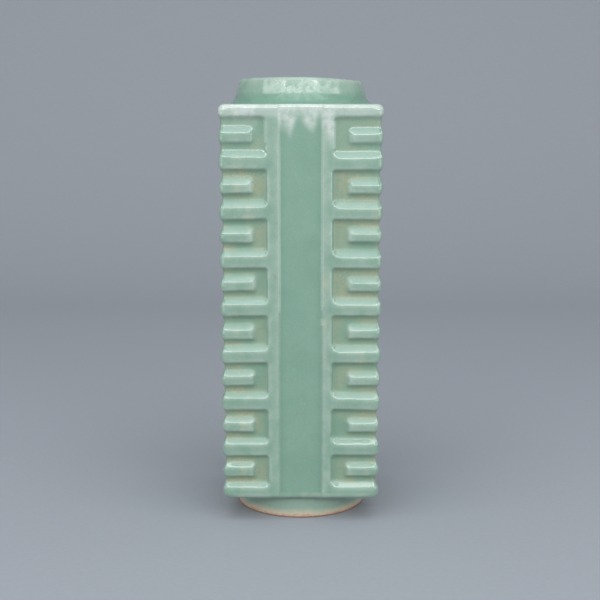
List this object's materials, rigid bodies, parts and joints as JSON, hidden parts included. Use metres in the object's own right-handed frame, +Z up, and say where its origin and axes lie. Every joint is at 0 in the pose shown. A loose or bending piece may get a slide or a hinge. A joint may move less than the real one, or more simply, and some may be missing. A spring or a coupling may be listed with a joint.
{
  "type": "vase",
  "caption": "Tall square glazed vase of cong form: barred corners, a plain channel up each face, a low round neck and a round foot ring.",
  "frame": {"origin": "on the ground under the middle of the foot ring", "axes": "+Z up along the vase's axis, -Y out of the front face, +X to the right as seen from the front"},
  "size_m": [0.101, 0.101, 0.28],
  "materials": {
    "celadon_glaze": "thick glossy blue-green celadon glaze, pale where it thins over edges, finely crackled",
    "inner_glaze": "thinner, paler celadon glaze inside the vase",
    "foot_clay": "celadon glaze above a bare tan rim, burnt orange-brown where the glaze stops"
  },
  "bodies": {
    "root": {"back_left_end_bands": "celadon_glaze", "back_left_long_bars": "celadon_glaze", "back_left_rib": "celadon_glaze", "back_left_seam_coil": "inner_glaze", "back_left_short_bars": "celadon_glaze", "back_right_end_bands": "celadon_glaze", "back_right_long_bars": "celadon_glaze", "back_right_rib": "celadon_glaze", "back_right_seam_coil": "inner_glaze", "back_right_short_bars": "celadon_glaze", "back_wall": "celadon_glaze", "base_seam_coil": "inner_glaze", "base_slab": "celadon_glaze", "foot_ring": "foot_clay", "front_left_end_bands": "celadon_glaze", "front_left_long_bars": "celadon_glaze", "front_left_rib": "celadon_glaze", "front_left_seam_coil": "inner_glaze", "front_left_short_bars": "celadon_glaze", "front_right_end_bands": "celadon_glaze", "front_right_long_bars": "celadon_glaze", "front_right_rib": "celadon_glaze", "front_right_seam_coil": "inner_glaze", "front_right_short_bars": "celadon_glaze", "front_wall": "celadon_glaze", "left_back_rib": "celadon_glaze", "left_front_rib": "celadon_glaze", "left_wall": "celadon_glaze", "neck_collar": "celadon_glaze", "right_back_rib": "celadon_glaze", "right_front_rib": "celadon_glaze", "right_wall": "celadon_glaze", "shoulder_seam_coil": "inner_glaze", "shoulder_slab": "celadon_glaze"}
  },
  "joints": []
}
